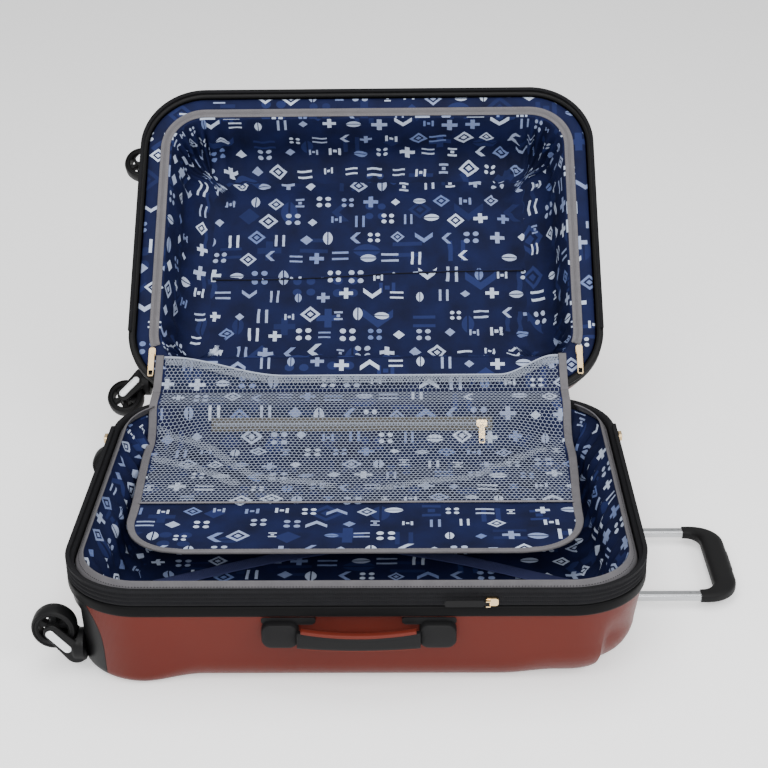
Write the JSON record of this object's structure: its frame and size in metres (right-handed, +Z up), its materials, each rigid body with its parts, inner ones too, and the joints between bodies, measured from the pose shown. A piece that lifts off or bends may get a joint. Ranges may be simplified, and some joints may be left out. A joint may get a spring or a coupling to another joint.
{
  "type": "hard shell suitcase",
  "caption": "Open hard shell suitcase on swivel wheels, with lined halves, a zip divider with a net pocket, a telescoping trolley handle and a carry handle.",
  "frame": {"origin": "middle of the flat back of the base shell, on the floor", "axes": "+Z up from the floor, +X from the wheels to the trolley handle, +Y from the carry handle to the lid hinge"},
  "size_m": [0.811, 0.8948, 0.4481],
  "materials": {
    "shell": "rust brown, finely ribbed, glossy",
    "rim": "black, satin",
    "black_plastic": "black moulded, fine grain",
    "soft_grip": "black soft touch",
    "accent": "rust brown, satin",
    "tape": "grey woven tape, stitched",
    "zip_black": "black zip tape with nylon coil",
    "lining": null,
    "net": "navy hexagonal net",
    "strap": "navy webbing",
    "tube": "bright anodised",
    "steel": "turned",
    "insert": "satin silver",
    "tread": "black, satin",
    "gold": "champagne gold plating"
  },
  "bodies": {
    "base": {"base_shell": "shell", "base_rim_band": "rim", "expansion_gusset": "rim", "base_zip": "zip_black", "base_binding": "tape", "base_lining": "lining", "base_wheel_housing_front": "black_plastic", "base_wheel_housing_rear": "black_plastic", "hinge_cord_web": "lining", "strap_buckle": "black_plastic", "tie_straps": "strap", "guide_tubes": "tube", "guide_bracket": "black_plastic", "handle_bezel": "black_plastic", "carry_pads": "black_plastic"},
    "lid": {"lid_shell": "shell", "lid_rim_band": "rim", "lid_zip": "zip_black", "lid_lining": "lining", "divider_tape": "tape", "lid_wheel_housing_lower": "black_plastic", "lid_wheel_housing_upper": "black_plastic", "divider_root_flap": "lining"},
    "divider": {"divider_panel": "lining", "divider_binding": "tape", "mesh_pocket": "net", "pocket_zip": "tape"},
    "trolley_middle": {"middle_tubes": "tube"},
    "trolley_inner": {"inner_tubes": "tube", "trolley_grip": "soft_grip", "grip_pins": "steel"},
    "release_button": {"release_button": "black_plastic"},
    "carry_handle": {"carry_grip": "black_plastic", "carry_accent": "accent"},
    "expansion_slider": {"expansion_slider": "gold"},
    "expansion_puller": {"expansion_puller": "soft_grip"},
    "main_slider_left": {"main_slider_left": "gold"},
    "main_slider_right": {"main_slider_right": "gold"},
    "divider_slider_left": {"divider_slider_left": "gold"},
    "divider_slider_right": {"divider_slider_right": "gold"},
    "divider_pull_left": {"divider_pull_left": "gold"},
    "divider_pull_right": {"divider_pull_right": "gold"},
    "pocket_slider": {"pocket_slider": "gold"},
    "pocket_pull": {"pocket_pull": "gold"},
    "base_front_caster": {"base_front_fork": "black_plastic", "base_front_fork_inserts": "insert", "base_front_axle": "steel"},
    "base_front_wheel": {"base_front_wheel": "tread"},
    "base_rear_caster": {"base_rear_fork": "black_plastic", "base_rear_fork_inserts": "insert", "base_rear_axle": "steel"},
    "base_rear_wheel": {"base_rear_wheel": "tread"},
    "lid_lower_caster": {"lid_lower_fork": "black_plastic", "lid_lower_fork_inserts": "insert", "lid_lower_axle": "steel"},
    "lid_lower_wheel": {"lid_lower_wheel": "tread"},
    "lid_upper_caster": {"lid_upper_fork": "black_plastic", "lid_upper_fork_inserts": "insert", "lid_upper_axle": "steel"},
    "lid_upper_wheel": {"lid_upper_wheel": "tread"}
  },
  "joints": [
    {"name": "lid_hinge", "type": "hinge", "parent": "base", "child": "lid", "pos_m": [0, 0.238, 0.132], "axis": [-1, 0, 0], "range_deg": [-138, 42]},
    {"name": "divider_fold", "type": "hinge", "parent": "base", "child": "divider", "pos_m": [0, 0.238, 0.132], "axis": [-1, 0, 0], "range_deg": [0, 140]},
    {"name": "base_front_swivel", "type": "hinge", "parent": "base", "child": "base_front_caster", "pos_m": [-0.302, -0.186, 0.03], "axis": [-1, 0, 0], "continuous": true},
    {"name": "base_front_spin", "type": "hinge", "parent": "base_front_caster", "child": "base_front_wheel", "pos_m": [-0.336, -0.186, 0.054], "axis": [0, 1, 0], "continuous": true},
    {"name": "base_rear_swivel", "type": "hinge", "parent": "base", "child": "base_rear_caster", "pos_m": [-0.302, 0.186, 0.03], "axis": [-1, 0, 0], "continuous": true},
    {"name": "base_rear_spin", "type": "hinge", "parent": "base_rear_caster", "child": "base_rear_wheel", "pos_m": [-0.336, 0.186, 0.054], "axis": [0, 1, 0], "continuous": true},
    {"name": "lid_lower_swivel", "type": "hinge", "parent": "lid", "child": "lid_lower_caster", "pos_m": [-0.302, 0.33553, 0.1014], "axis": [-1, 0, 0], "continuous": true},
    {"name": "lid_lower_spin", "type": "hinge", "parent": "lid_lower_caster", "child": "lid_lower_wheel", "pos_m": [-0.336, 0.31769, 0.08534], "axis": [0, 0.6691, -0.7431], "continuous": true},
    {"name": "lid_upper_swivel", "type": "hinge", "parent": "lid", "child": "lid_upper_caster", "pos_m": [-0.302, 0.61198, 0.35031], "axis": [-1, 0, 0], "continuous": true},
    {"name": "lid_upper_spin", "type": "hinge", "parent": "lid_upper_caster", "child": "lid_upper_wheel", "pos_m": [-0.336, 0.59414, 0.33426], "axis": [0, 0.6691, -0.7431], "continuous": true},
    {"name": "trolley_middle_slide", "type": "slide", "parent": "base", "child": "trolley_middle", "axis": [1, 0, 0], "range_m": [0, 0.165]},
    {"name": "trolley_inner_slide", "type": "slide", "parent": "trolley_middle", "child": "trolley_inner", "axis": [1, 0, 0], "range_m": [-0.082, 0.165]},
    {"name": "release_press", "type": "slide", "parent": "trolley_inner", "child": "release_button", "axis": [-1, 0, 0], "range_m": [0, 0.003], "stiffness_N_per_m": 800, "springref_m": -0.004},
    {"name": "carry_swing", "type": "hinge", "parent": "base", "child": "carry_handle", "pos_m": [0.005, -0.2365, 0.0845], "axis": [-1, 0, 0], "range_deg": [0, 45]},
    {"name": "expansion_slide", "type": "slide", "parent": "base", "child": "expansion_slider", "axis": [1, 0, 0], "range_m": [-0.37, 0.075]},
    {"name": "expansion_pull_swing", "type": "hinge", "parent": "expansion_slider", "child": "expansion_puller", "pos_m": [0.143, -0.2416, 0.119], "axis": [0, 0, 1], "range_deg": [0, 150]},
    {"name": "main_left_slide", "type": "slide", "parent": "base", "child": "main_slider_left", "axis": [0, 1, 0], "range_m": [-0.25, 0.015]},
    {"name": "divider_left_slide", "type": "slide", "parent": "lid", "child": "divider_slider_left", "axis": [0, 0.7431, 0.6691], "range_m": [0, 0.3]},
    {"name": "divider_left_pull_swing", "type": "hinge", "parent": "divider_slider_left", "child": "divider_pull_left", "pos_m": [-0.2885, 0.28344, 0.16821], "axis": [-1, 0, 0], "range_deg": [0, 150]},
    {"name": "main_right_slide", "type": "slide", "parent": "base", "child": "main_slider_right", "axis": [0, 1, 0], "range_m": [-0.25, 0.015]},
    {"name": "divider_right_slide", "type": "slide", "parent": "lid", "child": "divider_slider_right", "axis": [0, 0.7431, 0.6691], "range_m": [0, 0.3]},
    {"name": "divider_right_pull_swing", "type": "hinge", "parent": "divider_slider_right", "child": "divider_pull_right", "pos_m": [0.2885, 0.28344, 0.16821], "axis": [-1, 0, 0], "range_deg": [0, 150]},
    {"name": "pocket_slide", "type": "slide", "parent": "divider", "child": "pocket_slider", "axis": [1, 0, 0], "range_m": [-0.34, 0]},
    {"name": "pocket_pull_swing", "type": "hinge", "parent": "pocket_slider", "child": "pocket_pull", "pos_m": [0.154, 0.18127, 0.10994], "axis": [-1, 0, 0], "range_deg": [0, 20]}
  ]
}
